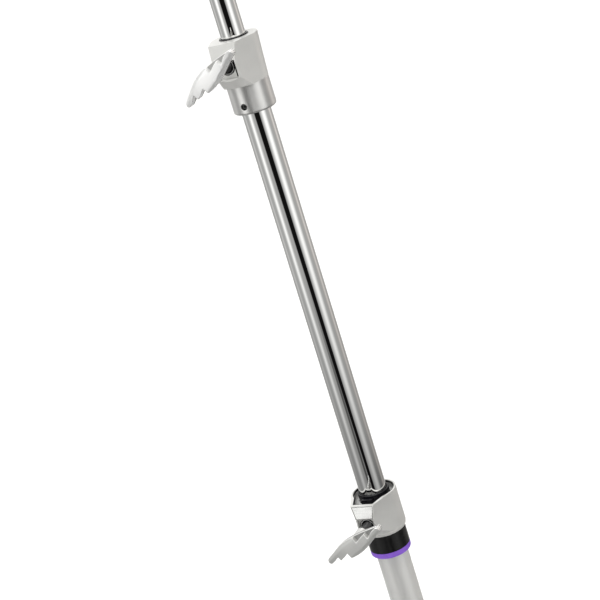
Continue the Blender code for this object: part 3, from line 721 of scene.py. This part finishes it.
bush_top, bush_low = top_of("lower_bush"), foot_of("lower_bush")
bush = carve("vis_lower_bush", turned_mesh("bush", (
    (0.0153, bush_top, 0.0008), (0.0172, bush_top, 0.0007), (0.0172, bush_low, 0.0003),
    (0.0153, bush_low, 0.0002)), 128), [
    (block_mesh("notch", (-SLOT_W, -0.0250, bush_low - 0.01), (SLOT_W, -0.0100, bush_low + 0.0031)),
     "DIFFERENCE", 0)], ["slick"])
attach(bush, "column")
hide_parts("lower_bush")

band_high, band_low = top_of("grip_band"), foot_of("grip_band")
turned("vis_grip_band", "column", "grip_band", "gloss", (
    (0.0178, band_high), (0.0223, band_high, 0.0005), (0.0223, band_low, 0.0002), (0.0178, band_low)), 128)
ring_high, ring_low = top_of("colour_ring"), foot_of("colour_ring")
turned("vis_colour_ring", "column", "colour_ring", "purple", (
    (0.0178, ring_high), (0.0223, ring_high, 0.0002), (0.0223, ring_low, 0.0026), (0.0178, ring_low)), 128)

# ---------------------------------------------------------------- upper collar
z2, z3 = UPPER_Z0, UPPER_Z1
MIDDLE_TOP = top_of("middle_riser")
grub_z = SLEEVE_Z + 0.0088
upper = carve("vis_upper_collar", loft_mesh("upper_head", (
    (z2, plan(0.0221, 0.0126, 0.0332)), (z3 - 0.0145, plan(0.0235, 0.0129, 0.0336)),
    (z3, plan(0.0242, 0.0152, 0.0281)))), [
    (ring_tool("upper_under", ((0.0222, z2 - 0.0050),), 0.0222, z2), "DIFFERENCE", 0),
    (turned_mesh("sleeve", (
        (0.0, z2 + 0.010), (0.0219, z2 + 0.010), (0.0220, z2 - 0.002), (0.0220, SLEEVE_Z, 0.0026),
        (0.0, SLEEVE_Z)), 128), "UNION", 2),
    (rod_mesh("upper_bore", 0.0153, (0, 0, SLEEVE_Z - 0.01), (0, 0, MIDDLE_TOP + 0.0003), 96),
     "DIFFERENCE", 1),
    (rod_mesh("bush_bore", 0.0151, (0, 0, MIDDLE_TOP - 0.001), (0, 0, z3 + 0.01), 96), "DIFFERENCE", 1),
    (block_mesh("upper_front", (-0.0113, -0.0500, z2 + 0.0118), (0.0113, -0.0308, z3 - 0.0160)),
     "DIFFERENCE", 0),
    # a narrow groove by the right cheek, black: painted shade along the cheek's edge
    (block_mesh("relief", (0.0084, -0.0500, z2 + 0.0124), (0.0112, -0.0262, z3 - 0.0166)),
     "DIFFERENCE", 3),
    (rod_mesh("upper_recess", RECESS_R, (0, -0.05, UPPER_SCREW_Z), (0, -0.0275, UPPER_SCREW_Z), 64),
     "DIFFERENCE", 1),
    (block_mesh("upper_pocket", (-SLOT_W, -0.0240, UPPER_SCREW_Z - 0.0090),
                (SLOT_W, -0.0120, UPPER_SCREW_Z + 0.0090)), "DIFFERENCE", 1),
    (rod_mesh("upper_hole", SCREW_HOLE_R, (0, -0.05, UPPER_SCREW_Z), (0, -0.0200, UPPER_SCREW_Z), 48),
     "DIFFERENCE", 1),
    (rod_mesh("grub_hole", 0.0034, (0, -0.03, grub_z), (0, -0.014, grub_z), 40), "DIFFERENCE", 1)],
    ["cast", "turned", "sleeve", "oxide", "rubbed"], 0.00035, 3, edge_look=4)
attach(upper, "middle")
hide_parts("upper_collar")

upper_bush = carve("vis_upper_bush", turned_mesh("top_bush", (
    (0.0128, z3 + 0.0012, 0.0006), (0.0148, z3 + 0.0012, 0.0005), (0.0148, MIDDLE_TOP + 0.0006, 0.0002),
    (0.0128, MIDDLE_TOP + 0.0006)), 96), [
    (block_mesh("bush_slot", (-SLOT_W, -0.0240, UPPER_SCREW_Z - 0.0090),
                (SLOT_W, -0.0100, UPPER_SCREW_Z + 0.0090)), "DIFFERENCE", 0)], ["slick"])
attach(upper_bush, "middle")
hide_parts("upper_bush")


# ---------------------------------------------------------------- shoes, screws and their bushes
def shoe(name, node, body, riser_r, back_d, stepped):
    low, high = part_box(node)[0][2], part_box(node)[1][2]
    steps = [(rod_mesh(name + "_hollow", riser_r + 0.0003, (0, 0, low - 0.01), (0, 0, high + 0.01), 96),
              "DIFFERENCE", 0)]
    if stepped:
        steps.append((rod_mesh(name + "_step", 0.0175, (0, 0, tube_high[2] + 0.0031),
                               (0, 0, high + 0.01), 96), "DIFFERENCE", 0))
    half = SLOT_W - 0.0003
    obj = carve(name, block_mesh(name + "_block", (-half, -back_d, low), (half, -riser_r + 0.0030, high)),
                steps, ["slick"], 0.0006, 3)
    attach(obj, body)
    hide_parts(node)


shoe("vis_lower_shoe", "lower_shoe", "lower_shoe", MIDDLE_R, 0.0215, True)
shoe("vis_upper_shoe", "upper_shoe", "upper_shoe", TOP_R, 0.0213, False)


def threaded_rod(name, node, body, z, start, end):
    """A clamp screw with a real helical thread, its axis along -Y."""
    major, pitch, depth = 0.0050, 0.0015, 0.00085
    sides, steps = 40, 8
    rows = int((end - start) / pitch * steps)
    bm = bmesh.new()
    rings = []
    for i in range(rows + 1):
        d = start + (end - start) * i / rows
        ring = []
        for k in range(sides):
            a = math.tau * k / sides
            phase = (d / pitch + k / sides) % 1.0
            crest = abs(phase * 2.0 - 1.0)
            r = major - depth * min(1.0, max(0.0, (crest - 0.12) / 0.76))
            ends = min(d - start, end - d)
            r = min(r, major - depth + max(0.0, ends - 0.0002) * 1.2)
            ring.append(bm.verts.new((CX + r * math.cos(a), CY - d, z + r * math.sin(a))))
        rings.append(ring)
    skin(bm, rings)
    obj = new_object(name, mesh_from(bm, name), "thread", 50.0)
    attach(obj, body)
    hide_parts(node)


threaded_rod("vis_lower_clamp_screw", "lower_clamp_screw", "lower_screw", LOWER_SCREW_Z, 0.0218, 0.0637)
threaded_rod("vis_upper_clamp_screw", "upper_clamp_screw", "upper_screw", UPPER_SCREW_Z, 0.0216, 0.0647)


def screw_bush(name, node, body, z, front_d, back_d):
    """Black bush with a stepped mouth round the clamp screw."""
    step_d = front_d - 0.0012
    outline = ((0.0085, back_d, 0.0), (0.0085, front_d, 0.0005), (0.0072, front_d, 0.0003),
               (0.0064, step_d, 0.0003), (SCREW_HOLE_R, step_d, 0.0002), (SCREW_HOLE_R, back_d, 0.0))
    bm = bmesh.new()
    skin(bm, forward_rings(bm, rounded(outline), z), True)
    obj = new_object(name, mesh_from(bm, name), "matt")
    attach(obj, body)
    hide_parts(node)


screw_bush("vis_lower_screw_bush", "lower_screw_bush", "column", LOWER_SCREW_Z, 0.0338, 0.0308)
screw_bush("vis_upper_screw_bush", "upper_screw_bush", "middle", UPPER_SCREW_Z, 0.0305, 0.0278)


def mouth_ring(name, body, z, front_d):
    """Thin bright spring ring lying on a screw bush."""
    radius, wire, sides = 0.0073, 0.00028, 8
    turns = [math.tau * k / sides for k in range(sides)]
    outline = [(radius + wire * math.cos(a), front_d + 0.0002 + wire * math.sin(a)) for a in turns]
    bm = bmesh.new()
    skin(bm, forward_rings(bm, outline, z), True)
    obj = new_object(name, mesh_from(bm, name), "rubbed", 60.0)
    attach(obj, body)


mouth_ring("vis_lower_mouth_ring", "column", LOWER_SCREW_Z, 0.0338)
mouth_ring("vis_upper_mouth_ring", "middle", UPPER_SCREW_Z, 0.0305)


def set_screw(name, node, body, z, front_d, back_d):
    """A socket-head set screw in its hole."""
    radius, socket, depth = 0.0031, 0.0016, 0.0022
    hexagon = bmesh.new()
    skin(hexagon, forward_rings(hexagon, ((socket, front_d + 0.002), (socket, front_d - depth)), z, 6))
    obj = carve(name, rod_mesh(name + "_rod", radius, (0, -front_d, z), (0, -back_d, z), 40, 0.0004),
                [(mesh_from(hexagon, name + "_hex"), "DIFFERENCE", 0)], ["oxide"])
    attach(obj, body)
    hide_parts(node)


set_screw("vis_grub_screw", "grub_screw", "middle", grub_z, 0.0196, 0.0153)


# ---------------------------------------------------------------- levers
# a lobe's outline in mm from the screw axis, as (along, across): its long plain edge and tip, the steps
# cut back along its other side, and the same side without steps
EDGE = ((-4.9, -9.5), (0.0, -10.0), (4.9, -10.2), (9.8, -10.0), (14.6, -9.4),
        (19.5, -8.5), (25.4, -7.2), (31.2, -6.2), (37.2, -5.1),
        (38.7, -3.8), (39.0, -1.6), (38.2, 0.4), (36.5, 1.3))
STEPS = ((29.9, 0.7), (22.8, -2.3), (22.6, 3.9), (15.8, 3.1), (9.1, 1.7))
SMOOTH_BACK = ((29.2, 3.6), (23.4, 5.4), (17.6, 7.0))
STEP_HEEL, SMOOTH_HEEL = (-9.4, -8.5), (-12.2, -8.1)


def lobes(first, second):
    """Two lobes end to end, the second turned half way round."""
    return first + [(-s, -t) for s, t in second]


def long_edge_drop(s, t):
    """How far the chamfer along a lobe's long edge has fallen, for a fall of 1 in 1."""
    drop = 0.0
    for side_s, side_t in ((s, t), (-s, -t)):
        if side_s > -12.0 and side_t < 0.0:
            start = -7.2 + max(0.0, side_s - 9.0) * 5.0 / 28.0
            drop = max(drop, start - side_t)
    return drop


def lever_layer(name, outline, front, behind, tilt, z, bevel, look, crown=0.0):
    """A flat two-lobed plate, bevelled, divided and then swept back towards its tips."""
    bm = bmesh.new()
    skin(bm, [[bm.verts.new((s * MM, t * MM, d)) for s, t in outline] for d in (front, behind)])
    bmesh.ops.recalc_face_normals(bm, faces=bm.faces[:])
    corners = []
    for edge in bm.edges:
        if edge.calc_face_angle(0.0) > math.radians(28.0):
            corners.append(edge)
    for face in bm.faces:
        face.material_index = look
    # Bevel faces take the second look, the lighter casting: edge wear and a painted highlight.
    bmesh.ops.bevel(bm, geom=corners, offset=bevel, segments=3, profile=0.5, affect="EDGES",
                    clamp_overlap=True, material=1)
    for k in range(-15, 16):
        bmesh.ops.bisect_plane(bm, geom=bm.verts[:] + bm.edges[:] + bm.faces[:], dist=1e-7,
                               plane_co=(k * 2.6 * MM, 0.0, 0.0), plane_no=(1.0, 0.0, 0.0))
    for k in range(-3, 4):
        bmesh.ops.bisect_plane(bm, geom=bm.verts[:] + bm.edges[:] + bm.faces[:], dist=1e-7,
                               plane_co=(0.0, k * 2.6 * MM, 0.0), plane_no=(0.0, 1.0, 0.0))
    middle = (front + behind) / 2.0
    for sign in (1.0, -1.0):
        for start, end in (((-14.0, -7.2), (9.0, -7.2)), ((9.0, -7.2), (37.0, -2.2))):
            line = (Vector(end) - Vector(start)).normalized()
            near = [e for e in bm.edges if all(min(start[0], end[0]) - 3.0 < sign * v.co.x / MM
                                               < max(start[0], end[0]) + 3.0 for v in e.verts)]
            faces = [f for f in bm.faces if all(e in near for e in f.edges)]
            bmesh.ops.bisect_plane(
                bm, geom=list({v for e in near for v in e.verts}) + near + faces, dist=1e-7,
                plane_co=(sign * start[0] * MM, sign * start[1] * MM, 0.0),
                plane_no=(-line.y * sign, line.x * sign, 0.0))
    for v in bm.verts:
        s, t, d = v.co
        if d > middle and crown:
            d -= crown * MM * long_edge_drop(s / MM, t / MM)
        v.co = (CX + s * math.cos(tilt) - t * math.sin(tilt),
                CY + 3.3 * (s * s + t * t) - d,
                z + s * math.sin(tilt) + t * math.cos(tilt))
    return mesh_from(bm, name)


def lever(name, node, look, leaf_look, z, face, tilt, hub_d):
    """Cast lever: a stepped front layer, a back layer and the hub."""
    front = lobes([STEP_HEEL, *EDGE, *STEPS], [STEP_HEEL, *EDGE, *STEPS])
    leaf = lobes([STEP_HEEL, *EDGE, *SMOOTH_BACK], [SMOOTH_HEEL, *EDGE, *STEPS])
    leaf = [(s * 0.994, t * 0.965) for s, t in leaf]
    meshes = [
        lever_layer(name + "_front", front, face, face - 0.0054, tilt, z, 0.0004, 0, 0.55),
        lever_layer(name + "_leaf", leaf, face - 0.0048, face - 0.0088, tilt, z, 0.0005, 2)]
    bm = bmesh.new()
    points = rounded(((0.0, hub_d), (0.0053, hub_d), (0.0070, hub_d, 0.0008),
                      (0.0064, face - 0.0135, 0.0006), (0.0074, face - 0.0075, 0.0008),
                      (0.0, face - 0.0075)), False)
    skin(bm, forward_rings(bm, [(max(r, 1e-5), d) for r, d in points], z, 64))
    bmesh.ops.remove_doubles(bm, verts=bm.verts[:], dist=0.00002)
    meshes.append(mesh_from(bm, name + "_hub"))
    whole = bmesh.new()
    for mesh in meshes:
        whole.from_mesh(mesh)
        bpy.data.meshes.remove(mesh)
    result = bpy.data.meshes.new(name)
    whole.to_mesh(result)
    whole.free()
    obj = new_object(name, result, look, 32.0, ("rubbed", leaf_look))
    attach(obj, node)
    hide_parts(node)


# The lower lever carries painted shade on its face and back layer; the upper lever carries painted light on
# its face and painted shade on its back layer.
lever("vis_lower_lever", "lower_lever", "painted_shade_lever", "dark_leaf", LOWER_SCREW_Z, 0.0802,
      math.radians(30.5), 0.0490)
lever("vis_upper_lever", "upper_lever", "lever", "leaf", UPPER_SCREW_Z, 0.0763,
      math.radians(37.2), 0.0500)

# ---------------------------------------------------------------- base
plug_low, plug_high = foot_of("base_plug"), top_of("base_plug")
rim = tube_low[2] - 0.0003
turned("vis_base_plug", "column", "base_plug", "turned", (
    (0.0, plug_high), (0.0157, plug_high, 0.0012), (0.0157, rim), (0.0248, rim, 0.0008),
    (0.0248, plug_low + 0.0023, 0.0010), (0.0225, plug_low, 0.0008), (0.0, plug_low)), 96)
for tag in ("low", "mid", "high"):
    low, high = foot_of("washer_" + tag), top_of("washer_" + tag)
    turned("vis_washer_" + tag, "column", "washer_" + tag, "nylon", (
        (0.0178, high), (0.0250, high, 0.0004), (0.0250, low, 0.0004), (0.0178, low)), 72)

low, high = foot_of("stop_collar"), top_of("stop_collar")
stop_z = (low + high) / 2.0
stop = carve("vis_stop_collar", turned_mesh("stop", (
    (0.0178, high, 0.0003), (0.0250, high, 0.0012), (0.0250, low, 0.0006), (0.0178, low)), 96), [
    (rod_mesh("stop_hole", 0.0034, (0, -0.03, stop_z), (0, -0.012, stop_z), 40), "DIFFERENCE", 0)],
    ["turned"], 0.0003, 2)
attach(stop, "column")
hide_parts("stop_collar")
set_screw("vis_stop_screw", "stop_screw", "column", stop_z, 0.0236, 0.0178)

LEG_R, LEG_WALL, LEG_BEND, LEG_KNEE, LEG_REACH = 0.0127, 0.0016, 0.055, 0.300, 0.488
HUB_R, HUB_H, FOOT_R, FOOT_DROP, FOOT_LEN, FOOT_END = 0.0265, 0.0360, 0.0168, 0.0150, 0.062, 0.492


def leg_path(height, first):
    """Centre line of a leg, as (reach, height), with both bends rounded."""
    slope = height - FOOT_DROP
    corners = [(first, height), (LEG_KNEE - slope, height), (LEG_KNEE, FOOT_DROP), (LEG_REACH, FOOT_DROP)]
    half = math.radians(45.0) / 2.0
    cut_back = LEG_BEND * math.tan(half)
    points = [Vector(corners[0])]
    for before, corner, after in zip(corners, corners[1:], corners[2:]):
        c, b, a = Vector(corner), Vector(before), Vector(after)
        start, end = c + (b - c).normalized() * cut_back, c + (a - c).normalized() * cut_back
        inward = ((b - c).normalized() + (a - c).normalized()).normalized()
        centre = c + inward * (LEG_BEND / math.cos(half))
        for i in range(17):
            spoke = (start - centre).normalized().slerp((end - centre).normalized(), i / 16.0)
            points.append(centre + spoke * LEG_BEND)
    points.append(Vector(corners[-1]))
    return points


def pipe_mesh(name, path, radius, turn, sides=48):
    """A round bar swept along a path in a vertical plane through the column axis."""
    out = Vector((math.cos(turn), math.sin(turn), 0.0))
    across = Vector((-math.sin(turn), math.cos(turn), 0.0))
    bm = bmesh.new()
    rings = []
    for i, p in enumerate(path):
        a, b = path[max(0, i - 1)], path[min(len(path) - 1, i + 1)]
        along = (b - a).normalized()
        normal = Vector((-along.y, along.x))
        rings.append([])
        for k in range(sides):
            w = math.tau * k / sides
            q = p + normal * (radius * math.sin(w))
            rings[-1].append(bm.verts.new(AXIS + out * q.x + across * (radius * math.cos(w))
                                          + Vector((0.0, 0.0, q.y))))
    skin(bm, rings)
    return mesh_from(bm, name)


def weld_mesh(name, height, turn):
    """The rippled weld bead where the leg tube meets its hub."""
    sides = 96
    out = Vector((math.cos(turn), math.sin(turn), 0.0))
    across = Vector((-math.sin(turn), math.cos(turn), 0.0))
    bm = bmesh.new()
    rings = []
    for k in range(sides):
        w = math.tau * k / sides
        side, lift = LEG_R * math.cos(w), LEG_R * math.sin(w)
        reach = math.sqrt(max(0.0, HUB_R ** 2 - side ** 2))
        thick = 0.0021 + 0.00028 * math.sin(w * 26.0)
        ring = []
        for m in range(10):
            b = math.tau * m / 10
            radial = 1.0 + thick * math.sin(b) / LEG_R
            ring.append(bm.verts.new(AXIS + out * (reach + thick * math.cos(b)) + across * (side * radial)
                                     + Vector((0.0, 0.0, height + lift * radial))))
        rings.append(ring)
    skin(bm, rings, True)
    return mesh_from(bm, name)


def foot(tag, body, turn):
    """Rubber sleeve with a flat sole, grip rings and a domed end."""
    flat = math.acos(FOOT_DROP / FOOT_R)
    sides = 56
    stations = [(FOOT_END - FOOT_LEN, 0.0011), (FOOT_END - FOOT_LEN + 0.0004, 0.0004),
                (FOOT_END - FOOT_LEN + 0.0013, 0.0)]
    for k in range(6):
        x = FOOT_END - FOOT_LEN + 0.010 + k * 0.0075
        stations += [(x, 0.0), (x + 0.0005, 0.0006), (x + 0.0019, 0.0006), (x + 0.0024, 0.0)]
    stations += [(FOOT_END - 0.0022, 0.0), (FOOT_END - 0.0007, 0.0008), (FOOT_END, 0.0026)]
    out = Vector((math.cos(turn), math.sin(turn), 0.0))
    across = Vector((-math.sin(turn), math.cos(turn), 0.0))
    bm = bmesh.new()
    rings = []
    for x, inset in stations:
        ring = []
        for i in range(sides + 1):
            a = -math.pi / 2.0 + flat + (math.tau - 2.0 * flat) * i / sides
            r = FOOT_R - inset * min(1.0, max(0.0, (math.sin(a) + 0.95) * 2.0))
            lift = max(FOOT_DROP + r * math.sin(a), 0.0)
            ring.append(bm.verts.new(AXIS + out * x + across * (r * math.cos(a)) + Vector((0, 0, lift))))
        rings.append(ring)
    skin(bm, rings)
    start = out * (FOOT_END - FOOT_LEN - 0.01) + Vector((0.0, 0.0, FOOT_DROP))
    end = out * (LEG_REACH + 0.0003) + Vector((0.0, 0.0, FOOT_DROP))
    obj = carve("vis_foot_" + tag, mesh_from(bm, "foot_" + tag), [
        (rod_mesh("socket_" + tag, LEG_R + 0.0003, start, end, 48), "DIFFERENCE", 0)], ["rubber"])
    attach(obj, body)
    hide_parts("foot_" + tag)


for tag, azimuth, body in (("low", 150.0, "column"), ("mid", 30.0, "leg_mid"), ("high", -90.0, "leg_high")):
    turn = math.radians(azimuth)
    base = top_of("washer_" + tag) + 0.0003
    height = base + HUB_H / 2.0
    hub = turned_mesh("hub_" + tag, (
        (0.0170, base + HUB_H, 0.0004), (HUB_R, base + HUB_H, 0.0014), (HUB_R, base, 0.0014),
        (0.0170, base, 0.0004)), 96)
    # the tube's bore stops short of the hub and runs out at the far end
    core = leg_path(height, 0.0240)
    core[-1] = core[-1] + Vector((0.01, 0.0))
    obj = carve("vis_leg_" + tag, hub, [
        (pipe_mesh("bar_" + tag, leg_path(height, 0.0200), LEG_R, turn), "UNION", 0),
        (pipe_mesh("core_" + tag, core, LEG_R - LEG_WALL, turn, 32), "DIFFERENCE", 0),
        (rod_mesh("hub_bore_" + tag, COLUMN_R + 0.0003, (0, 0, base - 0.01), (0, 0, base + HUB_H + 0.01),
                  96), "DIFFERENCE", 0)], ["chrome"])
    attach(obj, body)
    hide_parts("leg_" + tag)
    bead = new_object("vis_weld_" + tag, weld_mesh("weld_" + tag, height, turn), "zinc", 60.0)
    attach(bead, body)
    foot(tag, body, turn)

# ---------------------------------------------------------------- floor
bm = bmesh.new()
bmesh.ops.create_grid(bm, x_segments=4, y_segments=4, size=30.0)
floor_mesh = mesh_from(bm, "floor")
floor_mesh.materials.append(pale_floor())
floor = bpy.data.objects.new("floor", floor_mesh)
bpy.context.scene.collection.objects.link(floor)
floor.location = (0.0, 0.0, -0.0002)
floor.visible_glossy = False
